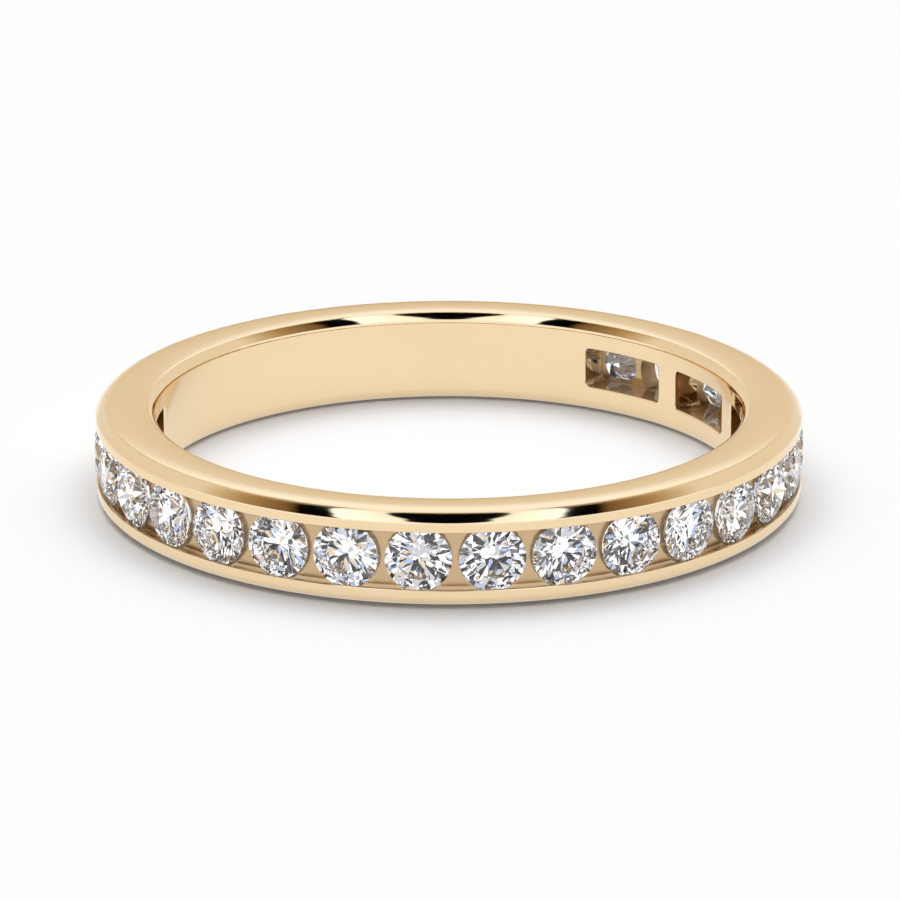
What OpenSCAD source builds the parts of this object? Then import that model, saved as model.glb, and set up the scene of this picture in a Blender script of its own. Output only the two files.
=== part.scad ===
// Channel set ring: a polished gold band with two rims that hold a row of round brilliant
// stones in the channel between them. The inner wall has one open window behind each pair
// of stones, and the last stretch of the band is plain. Lengths are in millimetres. The
// ring lies on its side: its axis is +Z and the middle of the row of stones faces -Y.

/* [Band] */
// Inside diameter of the band
bore_d = 17.3; // [14:0.1:22]
// Thickness of the band from the bore to the outside
wall = 1.77; // [1.6:0.01:2.4]
// Width of the band from one side to the other
band_w = 2.8; // [2.6:0.05:5]

/* [Band edges] */
// Depth of the outer bevel, measured inwards along the radius
bevel_out_r = 0.27; // [0.05:0.01:0.4]
// Height of the outer bevel, measured along the axis
bevel_out_h = 0.27; // [0.1:0.01:0.32]
// Depth of the inner bevel, measured outwards along the radius
bevel_in_r = 0.17; // [0.06:0.01:0.3]
// Height of the inner bevel, measured along the axis
bevel_in_h = 0.24; // [0.1:0.01:0.32]
// How far each end of the bore opens, as the soft inner edge of a comfort fit
comfort_r = 0.03; // [0.01:0.005:0.05]
// Height of each softened end of the bore, with its bevel
comfort_h = 0.47; // [0.4:0.01:0.5]
// Width of the flat in the middle of each side face
side_flat = 0.5; // [0.2:0.05:0.9]
// Fall of each side face from its flat to its bevels
side_fall = 0.04; // [0.01:0.005:0.06]

/* [Stones] */
// Number of pairs of stones in the row
pair_count = 11; // [1:1:12]
// Diameter of each stone at its girdle
stone_d = 1.9; // [1.6:0.05:2.1]
// Gap between neighbouring stones at their girdles
stone_gap = 0.18; // [0.12:0.01:0.5]
// Thickness of the girdle
girdle_t = 0.057; // [0.04:0.001:0.1]
// Diameter of the table, as a share of the stone's diameter
table_share = 0.58; // [0.52:0.01:0.64]
// Height of the crown, as a share of the stone's diameter
crown_share = 0.125; // [0.1:0.005:0.16]
// Depth of the pavilion, as a share of the stone's diameter
pavilion_share = 0.43; // [0.4:0.005:0.45]
// How far each table stands above the rims
table_proud = 0.03; // [0:0.01:0.1]
// Turn of each stone about its own axis, from one stone to the next
stone_spin = 17; // [0:1:44]

/* [Channel] */
// How far each rim covers the edge of a stone
lip_cover = 0.095; // [0.05:0.005:0.15]
// Clearance between a stone and the metal that seats it
seat_gap = 0.03; // [0.02:0.005:0.05]
// Width of the flat floor along the middle of the channel
floor_w = 0.77; // [0.4:0.01:0.9]
// Diameter of the hole that opens the floor under a stone
hole_d = 1.4; // [1.1:0.02:1.5]
// Width of those holes across the band, where they are cut off straight
hole_w = 1.1; // [0.8:0.01:1.12]
// Thickness of the floor between the channel and the window under it
floor_t = 0.21; // [0.1:0.01:0.4]

/* [Windows] */
// Width of each window across the band
window_w = 1.2; // [1.16:0.01:1.4]
// Width of the wall that is left between two windows, at the bore
web_w = 0.74; // [0.4:0.02:0.76]
// Radius of each window's corners
window_corner = 0.15; // [0.05:0.01:0.3]

/* [Hidden] */
$fn = 128;
bore_r = bore_d / 2;
rim_r = bore_r + wall;
half_w = band_w / 2;
side_mid_r = (bore_r + bevel_in_r + rim_r - bevel_out_r) / 2;
cut_extra = 1;
quarter_turn = 90;

stone_r = stone_d / 2;
table_r = table_share * stone_r;
crown_h = crown_share * stone_d;
pavilion_h = pavilion_share * stone_d;
girdle_r = rim_r + table_proud - crown_h - girdle_t / 2;
culet_r = girdle_r - girdle_t / 2 - pavilion_h;
stone_count = 2 * pair_count;
pitch = 2 * asin((stone_d + stone_gap) / 2 / girdle_r);

// The brilliant cut: eight mains, each with a point on the girdle, and four girdle sides
// to each main. The star points lie half way from the table's edge to the girdle.
mains = 8;
main_step = 360 / mains;
sides_per_main = 4;
girdle_sides = mains * sides_per_main;
side_step = 360 / girdle_sides;
star_length = 0.5;
lower_length = 0.77;
table_edge_r = table_r * cos(main_step / 2);
star_r = table_edge_r + star_length * (stone_r - table_edge_r);
star_z = crown_h * (stone_r - star_r * cos(main_step / 2)) / (stone_r - table_r);
lower_r = (1 - lower_length) * stone_r;
lower_z = pavilion_h * (stone_r - lower_r * cos(main_step / 2)) / stone_r;
chord_r = stone_r * cos(side_step);
crown_dip = (stone_r - chord_r) * star_z / (chord_r - star_r * cos(side_step));
pavilion_dip = (stone_r - chord_r) * lower_z / (chord_r - lower_r * cos(side_step));

// The channel's section follows the stones: its lips clear the crown, its grooves clear
// the girdle and its slopes run alongside the pavilion.
open_half = stone_r - lip_cover;
groove_half = stone_r + seat_gap;
pavilion_angle = atan(pavilion_h / stone_r);
crown_slope = star_z / (stone_r - star_r);
lip_r = girdle_r + girdle_t / 2 + lip_cover * crown_slope + seat_gap;
floor_half = floor_w / 2;
floor_r = slope_r(floor_half);
roof_r = floor_r - floor_t;
hole_reach = floor_r * sin(pitch / 2) + floor_half * cos(pitch / 2);
hole_overlap = 0.1;
corner_sides = 4;
window_half = pitch - asin(web_w / 2 / bore_r);
window_l = 2 * bore_r * sin(window_half);

// Radius of the channel's slope at a distance from the middle of the band.
function slope_r(from_middle) =
    culet_r + from_middle * tan(pavilion_angle) - seat_gap / cos(pavilion_angle);

// Name of a stone, with two digits.
function stone_name(i) = str(i < 10 ? "stone_0" : "stone_", i);

// Angle of a stone about the ring's axis, from the middle of the row.
function stone_angle(i) = (i - (stone_count + 1) / 2) * pitch;

// Angle of a pair of stones, which is the angle of its window.
function pair_angle(i) = (i - (pair_count + 1) / 2) * 2 * pitch;

// A list of points mirrored across the middle of the band, in the opposite order.
function mirrored(points) =
    [for (i = [len(points) - 1:-1:0]) [points[i][0], -points[i][1]]];

// A ring of points at one radius, with its first point at an angle.
function ring(count, radius, z, first = 0) =
    [for (i = [0:count - 1])
        let (a = first + i * 360 / count)
        [radius * cos(a), radius * sin(a), z]];

// A ring of girdle points: the points between two facet corners dip by a small amount.
function girdle_ring(z, dip) =
    [for (i = [0:girdle_sides - 1])
        let (a = i * side_step)
        [stone_r * cos(a), stone_r * sin(a), z + (i % 2 == 1 ? dip : 0)]];

// Turns its children from the +X direction to an angle about the ring's axis, where an
// angle of zero faces -Y and the angle grows towards +X, at the middle of the band.
module at_angle(angle) {
    translate([0, 0, half_w])
        rotate([0, 0, angle - quarter_turn])
            children();
}

// A bar along +Z whose section is a rectangle with rounded corners. Each corner is made of
// a few straight sides.
module rounded_bar(length, width, corner, height) {
    outline = [for (quarter = [0:3], k = [0:corner_sides])
        let (a = (quarter + k / corner_sides) * quarter_turn,
             side_x = quarter == 0 || quarter == 3 ? 1 : -1,
             side_y = quarter < 2 ? 1 : -1)
        [side_x * (length / 2 - corner) + corner * cos(a),
         side_y * (width / 2 - corner) + corner * sin(a)]];
    linear_extrude(height = height)
        polygon(outline);
}

// The band before its channel is cut: bore, softened bore ends, bevels and side faces.
module band_blank() {
    upper = [
        [bore_r, half_w - comfort_h],
        [bore_r + comfort_r, half_w - bevel_in_h],
        [bore_r + bevel_in_r, half_w - side_fall],
        [side_mid_r - side_flat / 2, half_w],
        [side_mid_r + side_flat / 2, half_w],
        [rim_r - bevel_out_r, half_w - side_fall],
        [rim_r, half_w - bevel_out_h]
    ];
    translate([0, 0, half_w])
        rotate_extrude()
            polygon(concat(upper, mirrored(upper)));
}

// The channel between the rims, with its lips, its grooves and its sloping seat.
module channel_cut() {
    upper = [
        [floor_r, floor_half],
        [slope_r(groove_half), groove_half],
        [lip_r, groove_half],
        [lip_r, open_half],
        [rim_r + cut_extra, open_half]
    ];
    arc = stone_count * pitch;
    at_angle(-arc / 2)
        rotate_extrude(angle = arc)
            polygon(concat(upper, mirrored(upper)));
}

// The holes in the channel's floor under one pair of stones. Each is round about its own
// stone, and cut off straight where the floor's edge just clears the stone's pavilion.
module holes_cut(i) {
    intersection() {
        for (side = [-1, 1])
            at_angle(pair_angle(i) + side * pitch / 2)
                rotate([0, quarter_turn, 0])
                    translate([0, 0, bore_r])
                        cylinder(h = wall, d = hole_d);
        at_angle(pair_angle(i))
            translate([roof_r - hole_overlap, -hole_reach, -hole_w / 2])
                cube([wall, 2 * hole_reach, hole_w]);
    }
}

// The window behind one pair of stones, from the bore to the channel's floor.
module window_cut(i) {
    at_angle(pair_angle(i))
        rotate([quarter_turn, 0, quarter_turn])
            translate([0, 0, bore_r - cut_extra])
                rounded_bar(window_l, window_w, window_corner, roof_r - bore_r + cut_extra);
}

// The whole band in one piece of gold.
module band() {
    color("gold")
        difference() {
            band_blank();
            channel_cut();
            for (i = [1:pair_count]) {
                holes_cut(i);
                window_cut(i);
            }
        }
}

// One round brilliant with its table up, centred on its girdle.
module brilliant() {
    table_z = girdle_t / 2 + crown_h;
    points = concat(
        ring(mains, table_r, table_z),
        ring(mains, star_r, girdle_t / 2 + star_z, main_step / 2),
        girdle_ring(girdle_t / 2, -crown_dip),
        girdle_ring(-girdle_t / 2, pavilion_dip),
        ring(mains, lower_r, -girdle_t / 2 - lower_z, main_step / 2),
        [[0, 0, -girdle_t / 2 - pavilion_h]]
    );
    star = mains;
    top = star + mains;
    base = top + girdle_sides;
    lower = base + girdle_sides;
    culet = lower + mains;
    // Facet corners on a girdle ring, counted in girdle sides from the start of a main.
    function on_ring(first, k, side) =
        first + (k * sides_per_main + side) % girdle_sides;
    function next(k) = (k + 1) % mains;
    function previous(k) = (k + mains - 1) % mains;
    table_face = [[for (k = [mains - 1:-1:0]) k]];
    star_faces = [for (k = [0:mains - 1]) [k, next(k), star + k]];
    bezel_faces = [for (k = [0:mains - 1])
        [k, star + k, on_ring(top, k, 0), star + previous(k)]];
    upper_faces = [for (k = [0:mains - 1], half = [0, 2])
        [star + k, on_ring(top, k, half + 2), on_ring(top, k, half + 1),
         on_ring(top, k, half)]];
    girdle_faces = [for (j = [0:girdle_sides - 1])
        [top + j, on_ring(top, 0, j + 1), on_ring(base, 0, j + 1), base + j]];
    lower_faces = [for (k = [0:mains - 1], half = [0, 2])
        [lower + k, on_ring(base, k, half), on_ring(base, k, half + 1),
         on_ring(base, k, half + 2)]];
    main_faces = [for (k = [0:mains - 1])
        [culet, lower + previous(k), on_ring(base, k, 0), lower + k]];
    polyhedron(points, concat(table_face, star_faces, bezel_faces, upper_faces,
                              girdle_faces, lower_faces, main_faces));
}

// One stone in its place in the channel.
module stone(i) {
    color("azure")
        at_angle(stone_angle(i))
            rotate([0, quarter_turn, 0])
                translate([0, 0, girdle_r])
                    rotate([0, 0, i * stone_spin])
                        brilliant();
}

band();
for (i = [1:stone_count])
    stone(i);
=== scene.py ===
import logging
import math
from dataclasses import dataclass, field
from enum import Enum

import bmesh
import bpy
import numpy as np
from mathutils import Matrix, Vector


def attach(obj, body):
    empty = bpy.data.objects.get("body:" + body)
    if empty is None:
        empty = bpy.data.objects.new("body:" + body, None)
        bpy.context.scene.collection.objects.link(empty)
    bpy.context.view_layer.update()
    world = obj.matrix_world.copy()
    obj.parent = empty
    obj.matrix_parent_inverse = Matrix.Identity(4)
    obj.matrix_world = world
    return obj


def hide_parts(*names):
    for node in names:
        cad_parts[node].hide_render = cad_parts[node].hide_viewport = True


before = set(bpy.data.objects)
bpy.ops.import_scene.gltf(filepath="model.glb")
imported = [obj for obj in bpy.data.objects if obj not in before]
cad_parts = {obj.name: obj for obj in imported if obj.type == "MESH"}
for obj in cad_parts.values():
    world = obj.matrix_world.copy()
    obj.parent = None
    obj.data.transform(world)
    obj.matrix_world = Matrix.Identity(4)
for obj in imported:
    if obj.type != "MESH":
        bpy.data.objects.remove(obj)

LOG = logging.getLogger("channel_set_ring")
MM = 0.001
# How much brighter the room is than the tones that are given for it, except through stones.
ROOM_STRENGTH = 2.0

Array = np.ndarray
Values = np.ndarray | float
Socket = bpy.types.NodeSocket
Colour = tuple[float, float, float]
Span = tuple[float, float]
Stops = tuple[tuple[float, Colour], ...]


def coordinates(*parts: Values) -> Array:
    """Points whose coordinates are given one by one, each stretched to the largest shape.

    Args:
        *parts: The coordinates in order.

    Returns:
        The points, ... x number of coordinates.
    """
    return np.stack(np.broadcast_arrays(*parts), axis=-1)


def along(start: Array, end: Array, shares: Array) -> Array:
    """Rows of points on the straight lines from one curve to another.

    Each point is the start plus its share of the way to the end.

    Args:
        start: Points of the first curve, n x 3.
        end: Points of the second curve, n x 3.
        shares: How far along each row lies, from 0 at the start to 1 at the end.

    Returns:
        A grid of points, rows x n x 3.
    """
    return start + (end - start) * shares[:, None, None]


def between_curves(bottom: Array, top: Array, left: Array,
                   right: Array) -> Array:
    """A grid between four curves that meet at their ends.

    It is the straight blend of bottom and top, plus the straight blend of left and right,
    less the straight blend of the four corners.

    Args:
        bottom: Points from left to right, n x 3.
        top: Points from left to right, n x 3.
        left: Points from bottom to top, m x 3.
        right: Points from bottom to top, m x 3.

    Returns:
        A grid of points, m x n x 3.
    """
    across = np.linspace(0, 1, len(bottom))[None, :, None]
    up = np.linspace(0, 1, len(left))[:, None, None]
    rows = (1 - up) * bottom[None] + up * top[None]
    columns = (1 - across) * left[:, None] + across * right[:, None]
    low = (1 - across) * bottom[0] + across * bottom[-1]
    high = (1 - across) * top[0] + across * top[-1]
    return rows + columns - ((1 - up) * low + up * high)


@dataclass(frozen=True)
class Rounding:
    """An arc that rounds the corner between two straight lines.

    Attributes:
        radius: Radius of the arc.
        steps: Number of straight pieces that the arc is made of.
        hold: Distance from the arc to the points that keep the lines' shading flat.
    """

    radius: float
    steps: int = 4
    hold: float = 0.012

    def points(self, before: Array, corner: Array, after: Array) -> Array:
        """The points that take the corner's place.

        The arc touches both lines. A point at angle a on it is its first point plus
        radius times sin a along the first line and 1 - cos a square to it.

        Args:
            before: The last point before the corner.
            corner: The corner.
            after: The next point after the corner.

        Returns:
            The points in order, n x 2.
        """
        first = (corner - before) / np.linalg.norm(corner - before)
        second = (after - corner) / np.linalg.norm(after - corner)
        cosine = float(np.clip(first @ second, -1, 1))
        turn = math.acos(cosine)
        square = (second - first * cosine) / math.sin(turn)
        reach = self.radius * math.tan(turn / 2)
        a = np.linspace(0, turn, self.steps + 1)[:, None]
        arc = corner - reach * first + self.radius * (np.sin(a) * first + (1 - np.cos(a)) * square)
        held_first = corner - (reach + self.hold) * first
        held_last = corner + (reach + self.hold) * second
        return np.vstack([held_first, arc, held_last])


def rounded_line(corners: list[tuple[float, float]], roundings: dict[int, Rounding]) -> Array:
    """A line through the corners, with some of them rounded.

    Args:
        corners: The corners in order.
        roundings: The rounding of a corner, by its number in the list.

    Returns:
        The points of the line, n x 2.
    """
    spots = np.array(corners, float)
    pieces = []
    for k, spot in enumerate(spots):
        if k in roundings:
            pieces.append(roundings[k].points(spots[k - 1], spot, spots[k + 1]))
        else:
            pieces.append(spot[None])
    return np.vstack(pieces)


class Skin:
    """Grids of points that meet edge to edge and are joined into one closed mesh."""

    def __init__(self) -> None:
        """Starts with no points and no faces."""
        self._points: list[Array] = []
        self._faces: list[Array] = []
        self._count = 0

    def grids(self, points: Array) -> None:
        """Adds one or more grids, with a four-sided face between neighbouring rows and columns.

        Args:
            points: Grids of points, ... x rows x columns x 3.
        """
        rows, columns = points.shape[-3:-1]
        index = self._count + np.arange(points.size // 3).reshape(-1, rows, columns)
        faces = np.stack([index[:, :-1, :-1], index[:, :-1, 1:],
                          index[:, 1:, 1:], index[:, 1:, :-1]], axis=-1)
        self._points.append(points.reshape(-1, 3))
        self._faces.append(faces.reshape(-1, 4))
        self._count += points.size // 3

    def strips(self, first: Array, second: Array, first_share: Array,
               second_share: Array) -> None:
        """Adds strips of triangles between curves with different numbers of points.

        A strip steps along both of its curves at once. The curve whose next point comes
        first, as a share of the way along, takes the step.

        Args:
            first: Curves, ... x n x 3.
            second: Curves beside them, ... x m x 3.
            first_share: Share of the way along of each of the n points.
            second_share: Share of the way along of each of the m points.
        """
        n, m = first.shape[-2], second.shape[-2]
        first = first.reshape(-1, n, 3)
        second = second.reshape(-1, m, 3)
        order = np.argsort(np.r_[first_share[1:], second_share[1:]], kind="stable")
        on_first = order < n - 1
        i = np.r_[0, np.cumsum(on_first)]
        j = np.r_[0, np.cumsum(~on_first)]
        corners = np.stack([i[:-1], i[1:], n + j[1:], n + j[:-1]], axis=-1)
        start = self._count + np.arange(len(first))[:, None, None] * (n + m)
        self._points.append(np.concatenate([first, second], axis=1).reshape(-1, 3))
        self._faces.append((start + corners[None]).reshape(-1, 4))
        self._count += len(first) * (n + m)

    def mesh(self, name: str, weld: float, sharp_deg: float) -> bpy.types.Mesh:
        """Joins all the grids into one mesh, in metres, with its faces pointing outwards.

        A face whose neighbouring corners are the same point becomes a triangle.

        Args:
            name: Name of the mesh.
            weld: Largest distance between two points that are one, in millimetres.
            sharp_deg: Turn between two faces past which their edge is shaded as sharp.

        Returns:
            The mesh.
        """
        mesh = bpy.data.meshes.new(name)
        faces = np.concatenate(self._faces)
        doubled = faces == np.roll(faces, -1, axis=1)
        triangle = doubled.any(axis=1)
        fours = faces[~triangle]
        threes = faces[triangle][~doubled[triangle]].reshape(-1, 3)
        mesh.from_pydata(np.concatenate(self._points) * MM, [], fours.tolist() + threes.tolist())
        work = bmesh.new()
        work.from_mesh(mesh)
        bmesh.ops.remove_doubles(work, verts=work.verts, dist=weld * MM)
        bmesh.ops.recalc_face_normals(work, faces=work.faces)
        work.to_mesh(mesh)
        work.free()
        mesh.shade_smooth()
        mesh.set_sharp_from_angle(angle=math.radians(sharp_deg))
        return mesh


class Change(Enum):
    """How a ramp goes from one stop to the next."""

    EVEN = "LINEAR"
    SUDDEN = "CONSTANT"


class Shader:
    """A node tree that is being put together.

    Attributes:
        UNDER_ONE: A number of bounces below this is none.
        tree: The tree.
    """

    UNDER_ONE = 0.5

    def __init__(self, tree: bpy.types.NodeTree) -> None:
        """Empties the tree.

        Args:
            tree: The tree of a material or of the world.
        """
        self.tree = tree
        tree.nodes.clear()

    def node(self, kind: str, inputs: dict | None = None, **settings: object) -> bpy.types.Node:
        """Adds a node.

        Args:
            kind: Blender's name of the node's type.
            inputs: What goes into each input: a value, a colour in red, green and blue, or
                the socket that it comes from.
            **settings: The node's own settings.

        Returns:
            The node.
        """
        made = self.tree.nodes.new(kind)
        for name, value in settings.items():
            setattr(made, name, value)
        for name, value in (inputs or {}).items():
            if isinstance(value, Socket):
                self.tree.links.new(value, made.inputs[name])
            elif made.inputs[name].type == "RGBA":
                made.inputs[name].default_value = (*value, 1)
            else:
                made.inputs[name].default_value = value
        return made

    def math(self, operation: str, *values: Socket | float) -> Socket:
        """Adds a sum on one, two or three values.

        Args:
            operation: Blender's name of the sum.
            *values: Numbers or sockets.

        Returns:
            The socket with the result.
        """
        return self.node("ShaderNodeMath", dict(enumerate(values)), operation=operation).outputs[0]

    def times(self, first: Socket | float, second: Socket | float) -> Socket:
        """The product of two values."""
        return self.math("MULTIPLY", first, second)

    def mirrored(self, path: bpy.types.bpy_prop_collection) -> Socket:
        """Tells whether a ray comes from a mirror or a stone and has met nothing dull before.

        Args:
            path: The outputs of a Light Path node.

        Returns:
            The socket, which is 1 for such a ray and 0 for others.
        """
        sharp = self.math("LESS_THAN", path["Diffuse Depth"], self.UNDER_ONE)
        return self.times(path["Is Glossy Ray"], sharp)

    def step(self, value: Socket, start: float, end: float) -> Socket:
        """A soft step from 0 to 1 as a value goes from start to end.

        Args:
            value: The socket to read.
            start: Value at which the step begins, which may be the larger one.
            end: Value at which it ends.

        Returns:
            The socket with the step.
        """
        made = self.node("ShaderNodeMapRange", {"Value": value, "From Min": start, "From Max": end},
                         interpolation_type="SMOOTHSTEP")
        return made.outputs["Result"]

    def ramp(self, value: Socket, stops: Stops, change: Change = Change.EVEN) -> Socket:
        """Turns a value from 0 to 1 into a colour, by stops that it runs through.

        Args:
            value: The socket to read.
            stops: Places from 0 to 1 in order, each with its colour.
            change: How it goes from one stop to the next.

        Returns:
            The socket with the colour.
        """
        made = self.node("ShaderNodeValToRGB", {"Fac": value})
        made.color_ramp.interpolation = change.value
        elements = made.color_ramp.elements
        for place, _ in stops[1:-1]:
            elements.new(place)
        for element, (place, colour) in zip(elements, stops):
            element.position = place
            element.color = (*colour, 1)
        return made.outputs["Color"]

    def blend(self, share: Socket, first: Socket | Colour, second: Socket | Colour) -> Socket:
        """Mixes two colours.

        Args:
            share: Share of the second colour.
            first: The colour where the share is 0.
            second: The colour where the share is 1.

        Returns:
            The socket with the mixed colour.
        """
        made = self.node("ShaderNodeMix", {0: share, 6: first, 7: second}, data_type="RGBA")
        return made.outputs[2]


# Painted shade and light: darker colours in the channel and pockets, a pale tone under the stones.
@dataclass(frozen=True)
class PolishedGold:
    """Mirror polished yellow gold with faint polishing lines that run round the ring.

    Attributes:
        colour: Colour that the metal reflects face on.
        roughness: Lowest and highest roughness, where the polish varies.
        channel_roughness: Roughness that the channel has on top of that.
        pocket_roughness: Roughness that the pockets have on top of that.
        warm: Share of its red, green and blue that the colour keeps in its warmest patches.
        side: Colour of the ring's two sides.
        side_soft: Share of soft, unmirrored light that the sides give back. Without it they
            mirror only the darkest part of the room when seen from straight above.
        side_upright: Upwards part of the surface's direction at which the sides begin, and
            past which they are a side in full.
        channel: Darker colour in the channel, painted shade in that hollow; its lesser polish is in
            its roughness.
        pocket_shade: Darker colour in the pockets behind the windows, painted shade.
        painted_light_through_stone: Painted pale tone of the seats, seen only through the stones.
        pale_share: How much of that painted tone the stones show.
        open_r: Radii of the windows' rim, the channel's floor and its lips, in metres.
        open_half: Half the width of the channel, in metres.
        middle: Height of the band's middle, in metres.
        cloud_scale: Patches of polish per metre.
        cloud_span: Brightness of a patch at the lowest and at the highest roughness.
        line_scale: Polishing lines per metre across the band.
        line_turns: How often a line changes in one radian round the ring.
        line_height: Height of the polishing lines, in metres.
    """

    colour: Colour = (0.905, 0.715, 0.465)
    warm: Colour = (0.985, 0.965, 0.935)
    roughness: Span = (0.035, 0.085)
    channel_roughness: float = 0.2
    pocket_roughness: float = 0.02
    side: Colour = (0.78, 0.565, 0.30)
    side_soft: float = 0.5
    side_upright: Span = (0.90, 0.975)
    channel: Colour = (0.62, 0.45, 0.27)
    pocket_shade: Colour = (0.56, 0.38, 0.20)
    painted_light_through_stone: Colour = (0.84, 0.85, 0.87)
    pale_share: float = 0.75
    open_r: tuple[float, float, float] = (0.0087, 0.00945, 0.0103)
    open_half: float = 0.00099
    middle: float = 0.0014
    cloud_scale: float = 260.0
    cloud_span: Span = (0.3, 0.75)
    line_scale: float = 9000.0
    line_turns: float = 6.0
    line_height: float = 2.5e-8

    def material(self) -> bpy.types.Material:
        """Makes the material, which goes by the place on the ring and the surface's direction.

        Returns:
            The material.
        """
        made = bpy.data.materials.new("polished_gold")
        made.use_nodes = True
        made.diffuse_color = (*self.colour, 1)
        nodes = Shader(made.node_tree)
        place = nodes.node("ShaderNodeTexCoord").outputs["Object"]
        parts = nodes.node("ShaderNodeSeparateXYZ", {0: place}).outputs
        radius = nodes.math("SQRT", nodes.math("ADD", nodes.times(parts[0], parts[0]),
                                               nodes.times(parts[1], parts[1])))
        flow = nodes.node("ShaderNodeCombineXYZ", {
            "X": nodes.times(radius, self.line_scale),
            "Y": nodes.times(nodes.math("ARCTAN2", parts[1], parts[0]), self.line_turns),
            "Z": nodes.times(parts[2], self.line_scale),
        }).outputs[0]
        lines = nodes.node("ShaderNodeTexNoise", {"Vector": flow, "Scale": 1.0, "Detail": 2.0,
                                                  "Roughness": 0.6}).outputs["Fac"]
        clouds = nodes.node("ShaderNodeTexNoise", {"Vector": place, "Scale": self.cloud_scale,
                                                   "Detail": 3.0}).outputs["Fac"]
        worn = nodes.node("ShaderNodeMapRange", {
            "Value": clouds, "From Min": self.cloud_span[0], "From Max": self.cloud_span[1],
            "To Min": self.roughness[0], "To Max": self.roughness[1]}).outputs["Result"]
        across = nodes.math("ABSOLUTE", nodes.math("SUBTRACT", parts[2], self.middle))
        behind, floor, lip = (nodes.math("GREATER_THAN", radius, r) for r in self.open_r)
        inside = nodes.times(nodes.math("LESS_THAN", across, self.open_half),
                             nodes.math("SUBTRACT", behind, lip))
        duller = nodes.times(inside, nodes.math(
            "MULTIPLY_ADD", floor, self.channel_roughness - self.pocket_roughness,
            self.pocket_roughness))
        worn = nodes.math("ADD", duller, worn)
        warmest = tuple(part * kept for part, kept in zip(self.colour, self.warm))
        tint = nodes.blend(clouds, self.colour, warmest)
        upright = nodes.node("ShaderNodeSeparateXYZ", {
            0: nodes.node("ShaderNodeTexCoord").outputs["Normal"]}).outputs[2]
        side = nodes.step(nodes.math("ABSOLUTE", upright), *self.side_upright)
        tint = nodes.blend(side, tint, self.side)
        metal = nodes.math("MULTIPLY_ADD", side, -self.side_soft, 1.0)
        # Painted light: through the stones the seats show a pale tone in place of the gold.
        through = nodes.times(self.pale_share, nodes.node(
            "ShaderNodeLightPath").outputs["Is Transmission Ray"])
        # Painted shade: the channel and the pockets behind the windows get darker colours.
        hollow_shade_and_light = nodes.blend(floor, self.pocket_shade, self.channel)
        hollow_shade_and_light = nodes.blend(through, hollow_shade_and_light, self.painted_light_through_stone)
        tint = nodes.blend(inside, tint, hollow_shade_and_light)
        bump = nodes.node("ShaderNodeBump", {"Height": lines, "Distance": self.line_height,
                                             "Strength": 1.0}).outputs["Normal"]
        shader = nodes.node("ShaderNodeBsdfPrincipled", {
            "Base Color": tint, "Metallic": metal, "Roughness": worn, "Normal": bump})
        nodes.node("ShaderNodeOutputMaterial", {"Surface": shader.outputs[0]})
        return made


@dataclass(frozen=True)
class ClearStone:
    """A clear stone with sharp, polished facets.

    Attributes:
        index: Refractive index.
        shine: How much the facets reflect face on, of what such a stone would.
        colour: Colour of the clearest parts.
        cloud: Colour of the least clear parts.
        cloud_scale: Such parts per metre.
        plain: Colour and cover where a program shows no nodes.
    """

    index: float = 2.42
    shine: Colour = (0.3, 0.3, 0.3)
    colour: Colour = (1.0, 1.0, 1.0)
    cloud: Colour = (0.985, 0.99, 1.0)
    cloud_scale: float = 700.0
    plain: tuple[float, float, float, float] = (0.95, 0.97, 1.0, 0.4)

    def material(self) -> bpy.types.Material:
        """Makes the material.

        Returns:
            The material.
        """
        made = bpy.data.materials.new("clear_stone")
        made.use_nodes = True
        made.diffuse_color = self.plain
        nodes = Shader(made.node_tree)
        place = nodes.node("ShaderNodeTexCoord").outputs["Object"]
        haze = nodes.node("ShaderNodeTexNoise", {"Vector": place, "Scale": self.cloud_scale,
                                                 "Detail": 1.0}).outputs["Fac"]
        tint = nodes.blend(haze, self.colour, self.cloud)
        glass = nodes.node("ShaderNodeBsdfPrincipled", {
            "Base Color": tint, "Roughness": 0.0, "IOR": self.index,
            "Transmission Weight": 1.0, "Specular Tint": self.shine})
        nodes.node("ShaderNodeOutputMaterial", {"Surface": glass.outputs[0]})
        return made


@dataclass(frozen=True)
class Sparkle:
    """What shows through the stones: broad patches of white, grey and dark, a few tinted.

    Attributes:
        scale: Patches per unit of direction.
        tones: Shares of the patches in order, each with its colour.
    """

    scale: float = 4.0
    tones: Stops = (
        (0.0, (0.01, 0.01, 0.012)), (0.17, (0.15, 0.15, 0.16)), (0.27, (0.50, 0.60, 0.85)),
        (0.35, (0.88, 0.68, 0.48)), (0.39, (0.6, 0.6, 0.63)), (0.48, (1.28, 1.28, 1.30)))

    def colour(self, nodes: Shader, direction: Socket) -> Socket:
        """The colour in a direction.

        Args:
            nodes: The tree.
            direction: The direction, of length 1.

        Returns:
            The socket with the colour.
        """
        patches = nodes.node("ShaderNodeTexVoronoi", {"Vector": direction, "Scale": self.scale})
        share = nodes.node("ShaderNodeSeparateColor", {0: patches.outputs["Color"]}).outputs[0]
        return nodes.ramp(share, self.tones, Change.SUDDEN)


# Painted light: the floor glows in part, for mirrors, stones and the camera, over its shadows.
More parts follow.
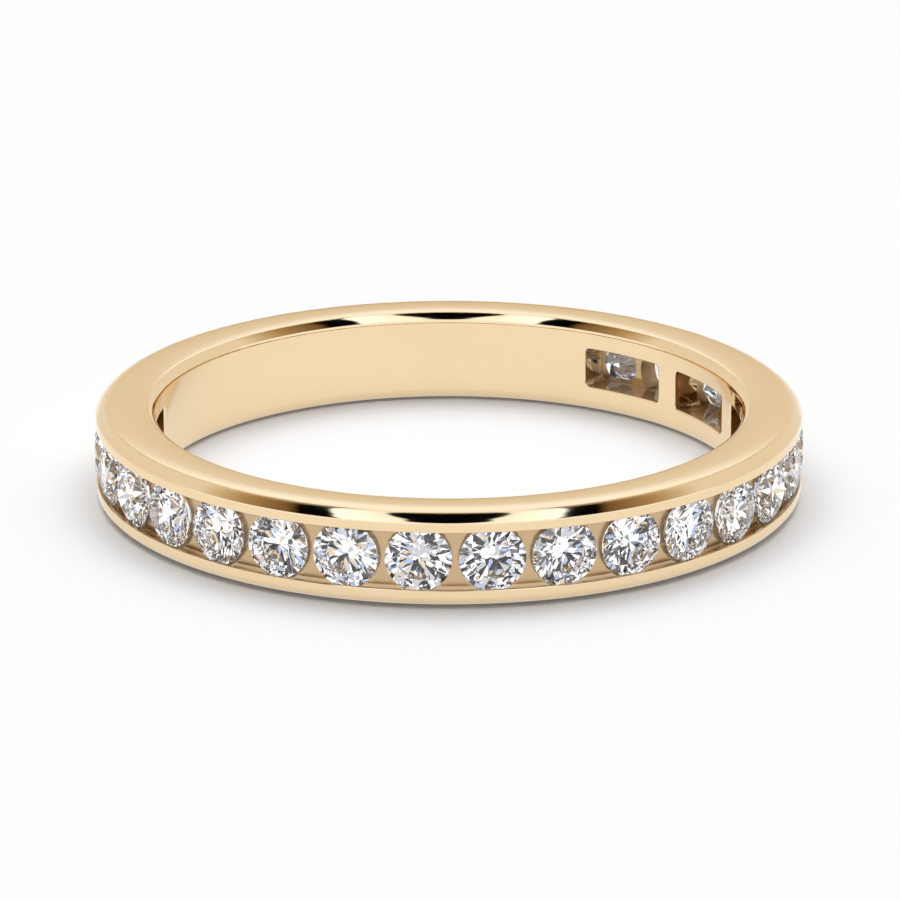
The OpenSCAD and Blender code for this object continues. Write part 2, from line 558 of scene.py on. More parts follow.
@dataclass(frozen=True)
class PaleFloor:
    """A plain white floor. The ring's own shadow on it shows less in the metal and stones.

    Attributes:
        colour: Its colour.
        glow_in_metal: Painted even glow that the metal reflects in part, over the floor's shadow.
        painted_patches_in_stone: Painted glowing patches that show in part through the stones.
        depth: Depth below the ring at which those patches are looked up, in metres.
        metal_share: How much of the painted glow the metal reflects.
        stone_share: How much of the painted patches the stones show.
        fill_glow: How much painted glow the floor shows to the camera, which lifts its shadows.
    """

    colour: Colour = (0.9, 0.9, 0.9)
    glow_in_metal: Colour = (1.0, 0.99, 0.97)
    painted_patches_in_stone: Sparkle = Sparkle()
    depth: float = 0.008
    metal_share: float = 0.7
    stone_share: float = 0.8
    fill_glow: float = 0.12

    def material(self) -> bpy.types.Material:
        """Makes the material.

        Returns:
            The material.
        """
        made = bpy.data.materials.new("pale_floor")
        made.use_nodes = True
        nodes = Shader(made.node_tree)
        place = nodes.node("ShaderNodeTexCoord").outputs["Object"]
        below = nodes.node("ShaderNodeVectorMath", {0: place, 1: (0, 0, -self.depth)}).outputs[0]
        direction = nodes.node("ShaderNodeVectorMath", {0: below},
                               operation="NORMALIZE").outputs[0]
        plain = nodes.node("ShaderNodeBsdfDiffuse", {"Color": self.colour})
        path = nodes.node("ShaderNodeLightPath").outputs
        through = path["Is Transmission Ray"]
        # Painted light: mirrors and stones see in part a glow in place of the lit floor.
        tone = nodes.blend(through, self.glow_in_metal, self.painted_patches_in_stone.colour(nodes, direction))
        even = nodes.node("ShaderNodeEmission", {"Color": tone, "Strength": 1.0})
        share = nodes.times(nodes.mirrored(path), nodes.math(
            "MULTIPLY_ADD", through, self.stone_share - self.metal_share, self.metal_share))
        # Painted light: a faint glow that the camera sees, lifting the floor's shadows.
        share = nodes.math("MULTIPLY_ADD", path["Is Camera Ray"], self.fill_glow, share)
        both = nodes.node("ShaderNodeMixShader", {0: share, 1: plain.outputs[0],
                                                  2: even.outputs[0]})
        nodes.node("ShaderNodeOutputMaterial", {"Surface": both.outputs[0]})
        return made


@dataclass(frozen=True)
class Divisions:
    """How finely the band's mesh is divided, counted in points unless it says otherwise.

    Attributes:
        stone: Columns of the channel for each stone, in faces.
        plain: Columns of the plain back.
        dome: Rows of each side of the ring, without its two edges.
        hole: Rows of a hole's wall and of the seat between two holes.
        cut: Points along the straight edge of a hole.
        slope: Rows of the seat's slope beside the holes.
        middle: Rows from the band's middle to the edge of the channel's floor.
        beside: Rows from there to the edge of the holes, with the row that both share.
        corner: Points round the corner of a window.
        end: Points from that corner to the middle of the window's end.
        wall: Rows of a window's wall above its rim.
        rim: Rows of the bore's wall round a window.
        rounds: Rounds of the two sums that settle where the seat's edge lies.
    """

    stone: int = 16
    plain: int = 122
    dome: int = 12
    hole: int = 7
    cut: int = 16
    slope: int = 7
    middle: int = 5
    beside: int = 4
    corner: int = 8
    end: int = 4
    wall: int = 3
    rim: int = 5
    rounds: int = 12


@dataclass
class Band:
    """The gold band: two rims, the channel with its seats, the windows and the plain back.

    The sizes up to the window's corner repeat those of the ring's construction, apart from
    four things that only this piece has. The inner bevel has a size of its own and runs
    straight into the bore, the sides are shallow domes, the holes under the stones are
    wider, and the seat is a cone under each stone with a ridge between neighbours. After
    them come the roundings, the places where one grid gives way to the next, how finely the
    mesh is divided and the finish. A seat's cone lies seat_clear below one that starts at
    the middle of the stone's girdle. The dome's rows start dome_start from its edges, the
    slope's rows seat_start from the band's middle, and the bore round the windows reaches
    to collar_half from it.
    """

    bore_r: float = 8.65
    rim_r: float = 10.42
    half_w: float = 1.4
    bevel_out_r: float = 0.27
    bevel_out_h: float = 0.27
    bevel_in_r: float = 0.15
    bevel_in_h: float = 0.26
    side_fall: float = 0.04
    pair_count: int = 11
    stone_r: float = 0.95
    stone_gap: float = 0.18
    girdle_r: float = 10.184
    pavilion_h: float = 0.817
    seat_clear: float = 0.07
    ridge_r: float = 10.08
    soften: float = 0.03
    open_half: float = 0.855
    groove_half: float = 0.98
    lip_r: float = 10.3133
    floor_r: float = 9.63003
    floor_half: float = 0.385
    roof_r: float = 9.42003
    hole_r: float = 0.88
    hole_half: float = 0.58
    window_half: float = 0.6
    web_w: float = 0.74
    window_corner: float = 0.15
    lip_round: Rounding = Rounding(0.025)
    rim_round: Rounding = Rounding(0.13, steps=6, hold=0.004)
    bevel_round: Rounding = Rounding(0.4, steps=4, hold=0.004)
    shoulder_round: Rounding = Rounding(0.48, steps=6, hold=0.004)
    bevel_bulge: float = 0.02
    inner_round: Rounding = Rounding(0.3, steps=7)
    bore_round: Rounding = Rounding(0.25, steps=5)
    window_round: Rounding = Rounding(0.05, steps=4)
    dome_start: float = 0.16
    seat_start: float = 0.6
    collar_half: float = 0.7
    divide: Divisions = Divisions()
    weld: float = 5e-5
    sharp_deg: float = 27.0
    finish: PolishedGold = PolishedGold()
    pitch: float = field(init=False)
    reach: float = field(init=False)

    def __post_init__(self) -> None:
        """Works out the angle between stones and the angle at which the channel ends."""
        across = (self.stone_r + self.stone_gap / 2) / self.girdle_r
        self.pitch = 2 * math.degrees(math.asin(across))
        self.reach = self.pair_count * self.pitch

    def seat_r(self, angle: Values, across: Values) -> Array:
        """Radius of the channel's seat.

        Under a stone it is a cone a little below the stone's own: at angle f from the stone's
        axis and distance w from the band's middle its radius R solves
        R cos f = c + k sqrt((R sin f)^2 + w^2), with k the stone's slope. Between stones the
        cone stops at a ridge, and nowhere does it go below the groove that runs along the
        channel, which is flat in the middle and then has the stones' slope. The two meet
        softly: the larger of a and b is taken as (a + b + sqrt((a - b)^2 + soften^2)) / 2.

        Args:
            angle: Angle in degrees from the middle of a pair of stones.
            across: Distance from the band's middle.

        Returns:
            The radius.
        """
        slope = self.pavilion_h / self.stone_r
        w = np.asarray(across, float)
        f = np.radians(np.mod(np.asarray(angle, float), self.pitch) - self.pitch / 2)
        c = self.girdle_r - self.seat_clear - self.pavilion_h
        sin, cos = np.sin(f), np.cos(f)
        square = cos ** 2 - (slope * sin) ** 2
        cone = (c * cos + np.sqrt((c * cos) ** 2 - square * (c ** 2 - (slope * w) ** 2))) / square
        groove = self.floor_r + np.maximum(w - self.floor_half, 0) * slope
        low = (cone + self.ridge_r - np.hypot(cone - self.ridge_r, self.soften)) / 2
        return (low + groove + np.hypot(low - groove, self.soften)) / 2

    def seat_edge(self, about: float, aside: Values,
                  across: Array) -> tuple[Array, Array]:
        """Where the seat lies at a distance aside from a plane through the ring's axis.

        The angle is the plane's own plus asin(aside / R), and R is the seat's radius at that
        angle: a few rounds of the two sums settle both.

        Args:
            about: Angle of the plane, in degrees from the middle of the pair of stones.
            aside: Distance from the plane.
            across: Distance from the band's middle.

        Returns:
            The angle in degrees and the radius.
        """
        radius = np.full(np.shape(across), self.girdle_r)
        for _ in range(self.divide.rounds):
            angle = about + np.degrees(np.arcsin(aside / radius))
            radius = self.seat_r(angle, across)
        return angle, radius

    def turned(self, section: Array, angles: Array,
               radius: Array | None = None) -> Array:
        """Turns a section round the ring's axis.

        A point at radius r, distance w from the band's middle and angle t lies at
        x = r sin t, y = -r cos t and z = half the band's width + w.

        Args:
            section: Radius and distance from the band's middle, n x 2.
            angles: Angles in degrees, m.
            radius: Radii that take the place of the section's own, n x m.

        Returns:
            Grids for both sides of the band, 2 x n x m x 3.
        """
        t = np.radians(angles)[None, :]
        r, w = section[:, :1], section[:, 1:]
        if radius is not None:
            r = radius
        x, y = r * np.sin(t), -r * np.cos(t)
        return np.stack([coordinates(x, y, self.half_w + w), coordinates(x, y, self.half_w - w)])

    def repeated(self, local: Array) -> Array:
        """Repeats a quarter of a pair's cell, mirrored twice, for every pair of stones.

        Local coordinates are the distance along the pair's own radius, the distance round
        the ring from it and the distance from the band's middle. Each copy is the local
        point mirrored, then turned by the pair's angle.

        Args:
            local: Points in local coordinates, ... x 3.

        Returns:
            The copies, in the ring's frame, 4 * pairs x ... x 3.
        """
        middle = (self.pair_count - 1) / 2
        angles = np.radians((np.arange(self.pair_count) - middle) * 2 * self.pitch)
        shape = (self.pair_count,) + (1,) * (local.ndim - 1)
        sin, cos = np.sin(angles).reshape(shape), np.cos(angles).reshape(shape)
        copies = []
        for side in (1, -1):
            out, aside = local[..., 0], side * local[..., 1]
            x, y = out * sin + aside * cos, aside * sin - out * cos
            for face in (1, -1):
                copies.append(coordinates(x, y, self.half_w + face * local[..., 2]))
        return np.concatenate(copies)

    def lip_drop(self) -> tuple[Array, Array]:
        """How far each row of the lip's rounding lies aside from and below the lip's corner.

        At angle a it is radius times 1 - cos a aside and 1 - sin a below.

        Returns:
            The distances aside and the distances below.
        """
        a = np.linspace(0, math.pi / 2, self.lip_round.steps + 1)
        return self.lip_round.radius * (1 - np.cos(a)), self.lip_round.radius * (1 - np.sin(a))

    def outer_section(self) -> Array:
        """Half of the band's section from the lip round to the bore.

        The side is a shallow dome: it falls with the square of the distance from its middle.
        The outer bevel bulges a little: its middle is pushed out square to it.

        Returns:
            Radius and distance from the band's middle, n x 2.
        """
        inner, outer = self.bore_r + self.bevel_in_r, self.rim_r - self.bevel_out_r
        middle, half = (inner + outer) / 2, (outer - inner) / 2
        r = np.r_[outer, np.linspace(outer - self.dome_start, inner + self.dome_start,
                                     self.divide.dome), inner]
        dome = coordinates(r, self.half_w - self.side_fall * ((r - middle) / half) ** 2)
        held = self.lip_round.radius + self.lip_round.hold
        low = np.array([self.rim_r, self.half_w - self.bevel_out_h])
        run = dome[0] - low
        square = np.array([run[1], -run[0]]) / np.linalg.norm(run)
        corners = [
            (self.rim_r, self.open_half + self.lip_round.radius),
            (self.rim_r, self.open_half + held),
            tuple(low),
            tuple(low + run / 2 + self.bevel_bulge * square),
            *map(tuple, dome),
            (self.bore_r, self.half_w - self.bevel_in_h),
            (self.bore_r, self.collar_half),
        ]
        rim, bevel, shoulder = 2, 3, 4
        inner_edge = shoulder + len(dome) - 1
        return rounded_line(corners, {
            rim: self.rim_round, bevel: self.bevel_round, shoulder: self.shoulder_round,
            inner_edge: self.inner_round, inner_edge + 1: self.bore_round})

    def slope_steps(self) -> Array:
        """Distances from the band's middle of the seat's rows beside the holes."""
        return np.linspace(self.seat_start, self.open_half, self.divide.slope)

    def seat_side(self, skin: Skin, angles: Array) -> None:
        """Adds the channel's sides: the seat beside the holes, the groove and the lip's wall.

        Args:
            skin: Where the grids go.
            angles: The angles of the channel's columns.
        """
        rows = np.r_[self.slope_steps(), self.groove_half]
        radius = self.seat_r(angles[None, :], rows[:, None])
        skin.grids(self.turned(coordinates(rows, rows), angles, radius))
        under = np.array([[0.0, self.groove_half], [self.lip_r, self.groove_half]])
        skin.grids(self.turned(under, angles, np.stack([radius[-1], np.full(
            len(angles), self.lip_r)])))
        edge = self.rim_r - self.lip_round.radius
        lip = np.array([(self.lip_r, self.groove_half), (self.lip_r, self.open_half),
                        (edge - self.lip_round.hold, self.open_half), (edge, self.open_half)])
        skin.grids(self.turned(lip, angles))

    def across_steps(self) -> Array:
        """Distances from the band's middle at which the seats and the holes have points."""
        floor = np.linspace(0, self.floor_half, self.divide.middle)
        return np.r_[floor, np.linspace(self.floor_half, self.hole_half, self.divide.beside)[1:]]

    def outline(self, wider: float) -> Array:
        """A quarter of a window's outline, from the middle of its long side to its end.

        It is a rectangle with round corners, widened evenly: straight, then a quarter
        circle round the corner's centre, then straight. It has as many points as the line
        that it is joined to on the bore, which takes in a stone's columns and a collar.

        Args:
            wider: How far outside the window's own wall it runs.

        Returns:
            Distance round the ring and from the band's middle, n x 2.
        """
        half_l = self.bore_r * math.sin(math.radians(self.pitch) - math.asin(
            self.web_w / 2 / self.bore_r))
        c = self.window_corner
        a = np.radians(np.linspace(90, 0, self.divide.corner + 1)[1:])
        joined = self.divide.stone + len(self.collar_steps())
        length = np.linspace(0, half_l - c, joined - self.divide.corner - self.divide.end)
        corner = coordinates(half_l - c + (c + wider) * np.cos(a),
                             self.window_half - c + (c + wider) * np.sin(a))
        end = (self.window_half - c) * np.linspace(1, 0, self.divide.end + 1)[1:]
        return np.vstack([coordinates(length, self.window_half + wider), corner,
                          coordinates(half_l + wider, end)])

    def stone_frame(self, up: Array, aside: Array, across: Array) -> Array:
        """Turns points of a stone's own frame by half a pitch into the pair's frame.

        Args:
            up: Distance along the stone's axis.
            aside: Distance round the ring from the stone's axis.
            across: Distance from the band's middle.

        Returns:
            Points in the pair's local coordinates, ... x 3.
        """
        a = math.radians(self.pitch / 2)
        out = up * math.cos(a) - aside * math.sin(a)
        sideways = up * math.sin(a) + aside * math.cos(a)
        return coordinates(out, sideways, across)

    def curved(self, angle: Array, radius: Values, across: Values) -> Array:
        """Points at angles in degrees from the pair's radius, in local coordinates."""
        t = np.radians(angle)
        return coordinates(radius * np.cos(t), radius * np.sin(t), across)

    def seats(self, skin: Skin) -> None:
        """Adds the channel's floor with the holes under the stones.

        On the side of its neighbour a hole is round about the stone's own axis, with x along
        that axis and y across it. Towards the wall between two windows it is cut off
        straight, where a circle as wide as the floor would end.

        Args:
            skin: Where the grids go.
        """
        a = math.radians(self.pitch / 2)
        w = self.across_steps()
        shares = np.linspace(0, 1, self.divide.hole)[:, None]
        aside = np.sqrt(self.hole_r ** 2 - w ** 2)
        near_angle, near_r = self.seat_edge(self.pitch / 2, -aside, w)
        low = (self.roof_r - aside * math.sin(a)) / math.cos(a)
        near_x = low + (np.sqrt(near_r ** 2 - aside ** 2) - low) * shares
        near = self.stone_frame(near_x, -aside, w)
        reach = self.floor_r * math.sin(a) + self.floor_half * math.cos(a)
        far_angle, far_r = self.seat_edge(0.0, reach, w)
        far_p = self.roof_r + (np.sqrt(far_r ** 2 - reach ** 2) - self.roof_r) * shares
        far = coordinates(far_p, reach, w)

        bar_angle = near_angle * shares
        bar = self.curved(bar_angle, self.seat_r(bar_angle, w), w)
        web_angle = far_angle + (self.pitch - far_angle) * shares
        web = self.curved(web_angle, self.seat_r(web_angle, w), w)

        bottom = along(near[:1, -1], far[:1, -1], np.linspace(0, 1, self.divide.cut))[:, 0]
        top_angle = np.linspace(near_angle[-1], far_angle[-1], self.divide.cut)
        top = self.curved(top_angle, self.seat_r(top_angle, w[-1]), w[-1])
        cut = between_curves(bottom, top, near[:, -1], far[:, -1])
        under = coordinates(self.roof_r, near[0, :, 1] * shares, w)
        for part in (near, far, bar, web, cut, under):
            skin.grids(self.repeated(part))

        own = self.outline(0.0)
        inner = np.vstack([under[:, -1], bottom[1:], far[0, -2::-1]])
        outer = coordinates(self.roof_r, own[:, 0], own[:, 1])
        skin.strips(self.repeated(inner), self.repeated(outer),
                    np.arctan2(inner[:, 1], inner[:, 2]), np.arctan2(own[:, 0], own[:, 1]))
        self.windows(skin, own)

        border = np.vstack([bar[:, -1], top[1:], web[1:, -1]])
        angles = np.degrees(np.arctan2(border[:, 1], border[:, 0]))
        regular = np.linspace(0, self.pitch, self.divide.stone + 1)
        beside = self.curved(regular, self.seat_r(regular, self.seat_start), self.seat_start)
        skin.strips(self.repeated(border), self.repeated(beside), angles / self.pitch,
                    regular / self.pitch)

    def windows(self, skin: Skin, own: Array) -> None:
        """Adds the windows' walls, their rounded rims and the bore's wall round them.

        The rim is an arc carried round the outline: at angle a it is radius times
        1 - sin a outside the wall and 1 - cos a above the bore's surface.

        Args:
            skin: Where the grids go.
            own: The outline of the window's wall.
        """
        rounding = self.window_round

        def on_bore(outline: Array, above: float) -> Array:
            """Points over an outline, at a height above the bore's surface."""
            out = np.sqrt(self.bore_r ** 2 - outline[:, 0] ** 2) + above
            return coordinates(out, outline[:, 0], outline[:, 1])

        arc = np.linspace(0, math.pi / 2, rounding.steps + 1)
        rows = [on_bore(self.outline(rounding.radius + rounding.hold), 0.0)]
        rows += [on_bore(self.outline(rounding.radius * (1 - math.sin(t))),
                         rounding.radius * (1 - math.cos(t))) for t in arc]
        rows.append(on_bore(own, rounding.radius + rounding.hold))
        skin.grids(self.repeated(np.stack(rows)))
        roof = coordinates(self.roof_r, own[:, 0], own[:, 1])
        skin.grids(self.repeated(along(rows[-1], roof, np.linspace(0, 1, self.divide.wall))))

        first = self.outline(rounding.radius + rounding.hold)
        collar = self.collar_steps()
        regular = np.linspace(0, self.pitch, self.divide.stone + 1)
        border_angle = np.r_[regular, np.full(len(collar) - 1, self.pitch)]
        border_w = np.r_[np.full(len(regular) - 1, self.collar_half), collar[::-1]]
        shares = np.linspace(0, 1, self.divide.rim)[:, None]
        start_angle = np.degrees(np.arcsin(first[:, 0] / self.bore_r))
        angle = start_angle + (border_angle - start_angle) * shares
        width = first[:, 1] + (border_w - first[:, 1]) * shares
        skin.grids(self.repeated(self.curved(angle, self.bore_r, width)))

    def collar_steps(self) -> Array:
        """Distances from the band's middle at which the bore between two windows has points."""
        return self.across_steps() * self.collar_half / self.hole_half

    def plain_back(self, skin: Skin, angles: Array) -> None:
        """Adds the outside and the bore of the plain stretch, and the channel's two end walls.

        Args:
            skin: Where the grids go.
            angles: The angles of the plain stretch, from one end wall to the other.
        """
        aside, below = self.lip_drop()
        inside = np.r_[self.across_steps(), self.slope_steps()[:-1]]
        lip = self.open_half + self.lip_round.radius
        skin.grids(self.turned(coordinates(self.rim_r, np.r_[inside, lip]), angles[1:-1]))
        skin.grids(self.turned(coordinates(self.bore_r, self.collar_steps()), angles))

        columns = np.r_[inside, self.open_half]
        edge = self.rim_r - self.lip_round.radius
        held = edge - self.lip_round.hold
        groove = np.array([self.open_half, self.groove_half])
        for end, sign in ((self.reach, 1), (-self.reach, -1)):
            rows = [self.wall_row(columns + step * (columns == self.open_half),
                                  self.rim_r - drop, end + sign * math.degrees(step / self.rim_r))
                    for step, drop in zip(aside, below)]
            skin.grids(np.stack(rows, axis=1))
            rows = [self.wall_row(columns, r, end)
                    for r in (self.seat_r(end, columns), self.lip_r, held, edge)]
            skin.grids(np.stack(rows, axis=1))
            rows = [self.wall_row(groove, r, end)
                    for r in (self.seat_r(end, groove), self.lip_r)]
            skin.grids(np.stack(rows, axis=1))

    def wall_row(self, across: Array, r: Values, end: float) -> Array:
        """A row of an end wall's points, on both sides of the band.

        Args:
            across: Distances from the band's middle.
            r: Radius of the row, or of each of its points.
            end: Angle of the end wall, in degrees.

        Returns:
            The row, 2 x n x 3.
        """
        return self.turned(coordinates(r, across), np.array([end]))[:, :, 0]

    def build(self) -> bpy.types.Object:
        """Makes the band as one closed mesh and puts it in place of the plain one.

        Returns:
            The band's object.
        """
        skin = Skin()
        stones = 2 * self.pair_count
        channel = np.linspace(-self.reach, self.reach, stones * self.divide.stone + 1)
        aside, below = self.lip_drop()
        past = math.degrees(self.lip_round.radius / self.rim_r)
        held = past + math.degrees(self.lip_round.hold / self.rim_r)
        far = 360 - self.reach
        plain = np.r_[self.reach, self.reach + past,
                      np.linspace(self.reach + held, far - held, self.divide.plain),
                      far - past, far]
        skin.grids(self.turned(self.outer_section(), np.r_[channel, plain[1:]]))
        self.seat_side(skin, channel)
        lip = []
        for step, drop in zip(aside, below):
            more = math.degrees(step / self.rim_r)
            angles = np.r_[-self.reach - more, channel, self.reach + more]
            section = np.array([[self.rim_r - drop, self.open_half + step]])
            lip.append(self.turned(section, angles)[:, 0])
        skin.grids(np.stack(lip, axis=1))
        self.seats(skin)
        self.plain_back(skin, plain)
        mesh = skin.mesh("gold_band", self.weld, self.sharp_deg)
        mesh.materials.append(self.finish.material())
        made = bpy.data.objects.new("gold_band", mesh)
        bpy.context.scene.collection.objects.link(made)
        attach(made, "root")
        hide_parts("band")
        return made


@dataclass
class StoneRow:
    """The row of stones, which keep their own cut shapes and get a finish."""

    count: int = 22
    finish: ClearStone = ClearStone()

    def dress(self) -> list[bpy.types.Object]:
        """Gives every stone the clear finish.

        Returns:
            The stones' objects.
        """
        material = self.finish.material()
        stones = [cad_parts[f"stone_{i:02d}"] for i in range(1, self.count + 1)]
        for stone in stones:
            stone.data.materials.clear()
            stone.data.materials.append(material)
        return stones


class Tone(Enum):
    """Colours of the soft room, as the polished gold sees them."""

    BLACK = (0.0008, 0.0008, 0.0008)
    UMBER = (0.10, 0.06, 0.025)
    OCHRE = (0.22, 0.155, 0.08)
    BROWN = (0.24, 0.18, 0.11)
    TAN = (0.27, 0.205, 0.12)
    SAND = (0.34, 0.285, 0.21)
    CREAM = (0.40, 0.37, 0.31)
    PALE = (0.44, 0.42, 0.39)
    WHITE = (0.53, 0.56, 0.59)
    GLOW = (0.58, 0.62, 0.66)
    LAMP = (0.72, 0.80, 0.94)


def toned(stops: tuple[tuple[float, Tone], ...]) -> Stops:
    """The stops of a ramp with their tones as colours."""
    return tuple((place, tone.value) for place, tone in stops)


@dataclass(frozen=True)
class GoldRoom:
    """The soft room as the polished gold sees it.

    A direction has a part x sideways, y away from the camera and z upwards. Away from the
    camera the room brightens with z, from brown at the floor to a lamp. Its two wings stay
    brown up to the lamp, the side walls are pale, and the camera's half of it is white.
    High up the bevels see black and bright rings round one direction. With e the camera's
    elevation and b = cos e - y, the mirror that shows a direction to the camera has the
    slope (z + sin e) / sqrt(x^2 + b^2) and looks |x| / b aside. A ring's size is the root
    of the sum of the squares of that aside and of the slope's distance from ring_slope
    times ring_squash.

    Attributes:
        wall: Tones away from the camera, by z.
        wing: Values of |x| between which the wings come in.
        lamp: Values of z between which the wings give way to the lamp.
        side: Values of |x| between which the side walls come in.
        behind: Values of y between which the camera's half comes in.
        least_back: Smallest b that the sums use.
        rings: Tones of the rings, by their size.
        ring_slope: Slope of the mirror that looks at the middle of the rings.
        ring_squash: Width of the rings for their height.
        lowest: Slopes between which the rings come in.
        highest: Slopes between which they end.
    """

    wall: tuple[tuple[float, Tone], ...] = (
        (0.0, Tone.BROWN), (0.12, Tone.TAN), (0.17, Tone.SAND), (0.27, Tone.CREAM),
        (0.345, Tone.PALE), (0.385, Tone.WHITE), (0.44, Tone.LAMP))
    wing: Span = (0.24, 0.30)
    lamp: Span = (0.56, 0.62)
    side: Span = (0.42, 0.52)
    behind: Span = (0.15, -0.05)
    least_back: float = 0.05
    rings: tuple[tuple[float, Tone], ...] = (
        (0.180, Tone.BLACK), (0.192, Tone.GLOW), (0.362, Tone.LAMP), (0.378, Tone.BLACK),
        (0.485, Tone.BLACK), (0.53, Tone.UMBER), (0.72, Tone.OCHRE), (0.86, Tone.SAND),
        (1.0, Tone.PALE))
    ring_slope: float = 2.0
    ring_squash: float = 0.13
    lowest: Span = (0.46, 0.54)
    highest: Span = (4.4, 3.8)

    def colour(self, nodes: Shader, direction: tuple[Socket, Socket, Socket],
               elevation: float) -> Socket:
        """The colour in a direction.

        Args:
            nodes: The tree.
            direction: The direction's parts x, y and z.
            elevation: The camera's height as an angle, in radians.

        Returns:
            The socket with the colour.
        """
        x, y, z = direction
        sideways = nodes.math("ABSOLUTE", x)
        far = nodes.ramp(z, toned(self.wall))
        wings = nodes.blend(nodes.step(sideways, *self.wing), far, Tone.BROWN.value)
        low = nodes.blend(nodes.step(z, *self.lamp), wings, far)
        low = nodes.blend(nodes.step(sideways, *self.side), low, Tone.PALE.value)
        low = nodes.blend(nodes.step(y, *self.behind), low, Tone.WHITE.value)
        back = nodes.math("MAXIMUM", nodes.math("SUBTRACT", math.cos(elevation), y),
                          self.least_back)
        aside = nodes.math("DIVIDE", sideways, back)
        level = nodes.math("SQRT", nodes.math("MULTIPLY_ADD", x, x, nodes.times(back, back)))
        slope = nodes.math("DIVIDE", nodes.math("ADD", z, math.sin(elevation)), level)
        off = nodes.times(nodes.math("SUBTRACT", slope, self.ring_slope), self.ring_squash)
        size = nodes.math("SQRT", nodes.math("MULTIPLY_ADD", aside, aside,
                                             nodes.times(off, off)))
        on_bevel = nodes.times(nodes.step(slope, *self.lowest), nodes.step(slope, *self.highest))
        return nodes.blend(on_bevel, low, nodes.ramp(size, toned(self.rings)))


@dataclass
class Studio:
    """The camera, the floor and the soft room round the ring.

    Attributes:
        azimuth: Side from which the camera looks, in degrees from -Y towards +X.
        elevation: Height of the camera above the floor, as an angle in degrees.
        distance: Distance of the camera from the ring's middle.
        focal_px: Focal length, in pixels of the picture.
        picture_px: Width and height of the picture.
        centre_px: Where the ring's middle lies in the picture.
        sensor_mm: Width of the camera's sensor.
        clip_m: Nearest and farthest distance that the camera shows, in metres.
        middle: Height of the ring's middle above the floor.
        floor_m: Width of the floor, in metres.
        backdrop: Grey that the camera sees of the room.
        top_light: Light that falls on the floor from straight above.
        falloff: Power of the height with which it falls off.
        lean: How much more of it comes from the far side, in red, green and blue.
        dark_cone: Angles from the camera's direction between which the room darkens for
            the stones, in degrees.
        in_camera: Colour of that dark place.
        gold_room: The room as the polished gold sees it.
        floor_finish: The floor's finish.
        bounces: How often light may bounce in all.
        clear_bounces: How often it may bounce in the metal and in the stones.
        dull_bounces: How often it may bounce on the floor.
        brightest: Strength past which light that has bounced is cut off.
    """

    azimuth: float = -24.5
    elevation: float = 18.40
    distance: float = 178.4
    focal_px: float = 6029.0
    picture_px: float = 900.0
    centre_px: Span = (448.87, 444.70)
    sensor_mm: float = 36.0
    clip_m: Span = (0.005, 20.0)
    middle: float = 1.4
    floor_m: float = 6.0
    backdrop: float = 0.49
    top_light: float = 3.80
    falloff: float = 5.0
    lean: Colour = (1.6, 1.7, 1.8)
    dark_cone: Span = (17.0, 12.0)
    in_camera: Colour = (0.03, 0.03, 0.03)
    gold_room: GoldRoom = GoldRoom()
    floor_finish: PaleFloor = PaleFloor()
    bounces: int = 28
    clear_bounces: int = 24
    dull_bounces: int = 4
    brightest: float = 8.0

    def camera(self) -> bpy.types.Object:
        """Makes the camera, aimed so that the ring's middle falls on its place.

        Returns:
            The camera's object.
        """
        a, e = math.radians(self.azimuth), math.radians(self.elevation)
        back = Vector((math.sin(a) * math.cos(e), -math.cos(a) * math.cos(e), math.sin(e)))
        right = Vector((math.cos(a), math.sin(a), 0))
        up = back.cross(right)
        per_px = self.distance / self.focal_px
        half = self.picture_px / 2
        middle = Vector((0, 0, self.middle))
        aim = middle + right * (half - self.centre_px[0]) * per_px
        aim -= up * (half - self.centre_px[1]) * per_px
        place = middle + back * self.distance
        data = bpy.data.cameras.new("camera")
        data.sensor_width = self.sensor_mm
        data.lens = self.focal_px * self.sensor_mm / self.picture_px
        data.clip_start, data.clip_end = self.clip_m
        made = bpy.data.objects.new("camera", data)
        made.location = place * MM
        made.rotation_mode = "QUATERNION"
        made.rotation_quaternion = (aim - place).to_track_quat("-Z", "Y")
        bpy.context.scene.collection.objects.link(made)
        bpy.context.scene.camera = made
        return made

    def floor(self) -> bpy.types.Object:
        """Makes the plain floor that the ring lies on.

        Returns:
            The floor's object.
        """
        half = self.floor_m / 2
        mesh = bpy.data.meshes.new("floor")
        corners = np.array([[-half, -half, 0], [half, -half, 0], [half, half, 0], [-half, half, 0]])
        mesh.from_pydata(corners, [], [(0, 1, 2, 3)])
        mesh.materials.append(self.floor_finish.material())
        made = bpy.data.objects.new("floor", mesh)
        bpy.context.scene.collection.objects.link(made)
        return made

    def seen_through_stones(self, nodes: Shader, direction: Socket) -> Socket:
        """The room as it shows through the stones: patches, and dark round the camera.

        Args:
            nodes: The tree.
            direction: The direction.

        Returns:
            The socket with the colour.
        """
        elevation = math.radians(self.elevation)
        patches = self.floor_finish.painted_patches_in_stone.colour(nodes, direction)
        camera = nodes.node("ShaderNodeVectorMath", {
            0: direction, 1: (0, -math.cos(elevation), math.sin(elevation))},
            operation="DOT_PRODUCT").outputs["Value"]
        near = nodes.step(camera, *(math.cos(math.radians(angle)) for angle in self.dark_cone))
        return nodes.blend(near, patches, self.in_camera)

    def seen_by_floor(self, nodes: Shader, y: Socket, z: Socket) -> Socket:
        """The light that falls on the floor: mostly from above, and more from the far side.

        Args:
            nodes: The tree.
            y: Part of the direction away from the camera.
            z: Upwards part of the direction.

        Returns:
            The socket with the colour.
        """
        height = nodes.math("POWER", nodes.math("MAXIMUM", z, 0.0), self.falloff)
        above = nodes.times(height, self.top_light / ROOM_STRENGTH)
        shares = [nodes.math("MAXIMUM", nodes.math("MULTIPLY_ADD", y, lean, 1.0), 0.0)
                  for lean in self.lean]
        channels = [nodes.times(above, share) for share in shares]
        return nodes.node("ShaderNodeCombineXYZ", dict(enumerate(channels))).outputs[0]

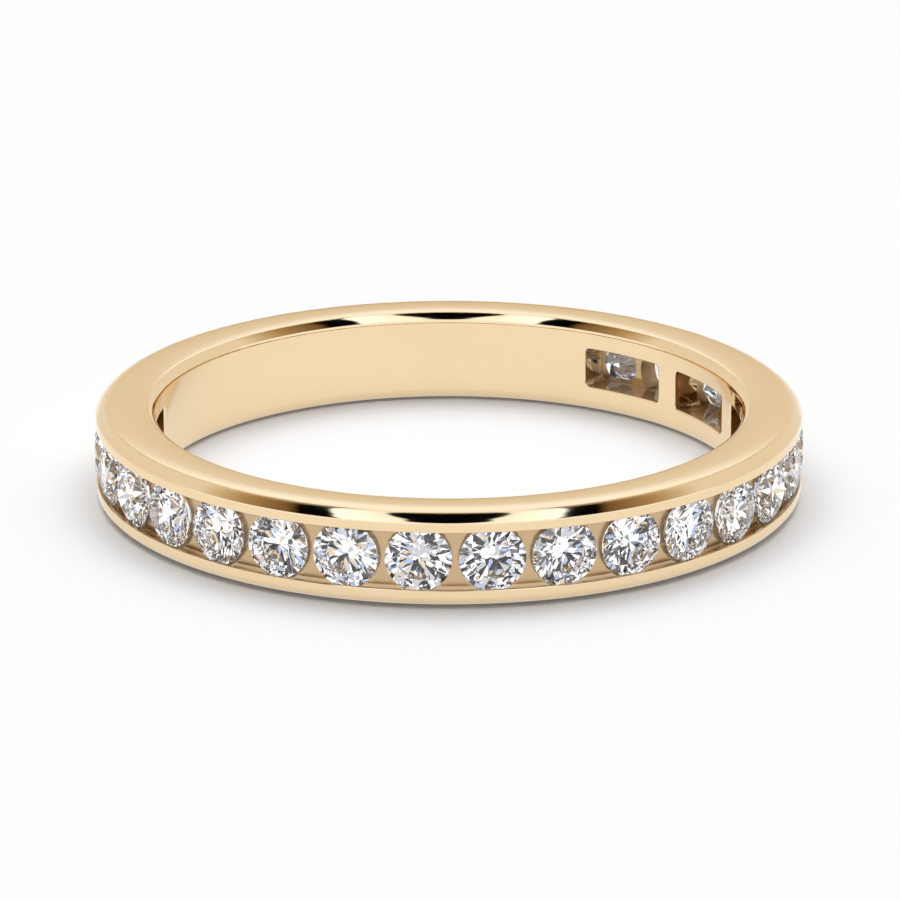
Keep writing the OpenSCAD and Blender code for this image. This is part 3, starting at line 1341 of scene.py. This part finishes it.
    def room(self) -> None:
        """Makes the soft room of light, seen in its own way by the metal, stones and floor."""
        world = bpy.data.worlds.new("room")
        bpy.context.scene.world = world
        world.use_nodes = True
        nodes = Shader(world.node_tree)
        direction = nodes.node("ShaderNodeTexCoord").outputs["Generated"]
        turned = nodes.node("ShaderNodeVectorRotate", {
            "Vector": direction, "Angle": math.radians(-self.azimuth)},
            rotation_type="Z_AXIS").outputs[0]
        x, y, z = nodes.node("ShaderNodeSeparateXYZ", {0: turned}).outputs
        path = nodes.node("ShaderNodeLightPath").outputs
        colour = nodes.blend(path["Is Camera Ray"], self.seen_by_floor(nodes, y, z),
                             (self.backdrop, self.backdrop, self.backdrop))
        colour = nodes.blend(nodes.mirrored(path), colour, self.gold_room.colour(
            nodes, (x, y, z), math.radians(self.elevation)))
        bright = nodes.node("ShaderNodeVectorMath", {0: colour, "Scale": ROOM_STRENGTH},
                            operation="SCALE").outputs[0]
        colour = nodes.blend(path["Is Transmission Ray"], bright,
                             self.seen_through_stones(nodes, turned))
        background = nodes.node("ShaderNodeBackground", {"Color": colour, "Strength": 1.0})
        nodes.node("ShaderNodeOutputWorld", {"Surface": background.outputs[0]})
        world.cycles.sampling_method = "NONE"

    def exposure(self) -> None:
        """Sets how light becomes picture colours and how often it may bounce."""
        scene = bpy.context.scene
        scene.view_settings.view_transform = "Standard"
        scene.view_settings.look = "None"
        scene.cycles.max_bounces = self.bounces
        scene.cycles.glossy_bounces = self.clear_bounces
        scene.cycles.transmission_bounces = self.clear_bounces
        scene.cycles.diffuse_bounces = self.dull_bounces
        scene.cycles.caustics_reflective = True
        scene.cycles.caustics_refractive = False
        scene.cycles.sample_clamp_indirect = self.brightest
        scene.cycles.use_denoising = True

    def build(self) -> None:
        """Makes the camera, the floor, the room and the exposure."""
        self.camera()
        self.floor()
        self.room()
        self.exposure()


def main() -> None:
    """Builds the ring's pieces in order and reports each."""
    logging.basicConfig(level=logging.INFO, format="%(name)s: %(message)s")
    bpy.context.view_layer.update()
    band = Band().build()
    LOG.info("band: %d triangles", sum(len(p.vertices) - 2 for p in band.data.polygons))
    stones = StoneRow().dress()
    LOG.info("stones: %d dressed", len(stones))
    Studio().build()
    LOG.info("studio: camera, floor and room")


if __name__ == "__main__":
    main()
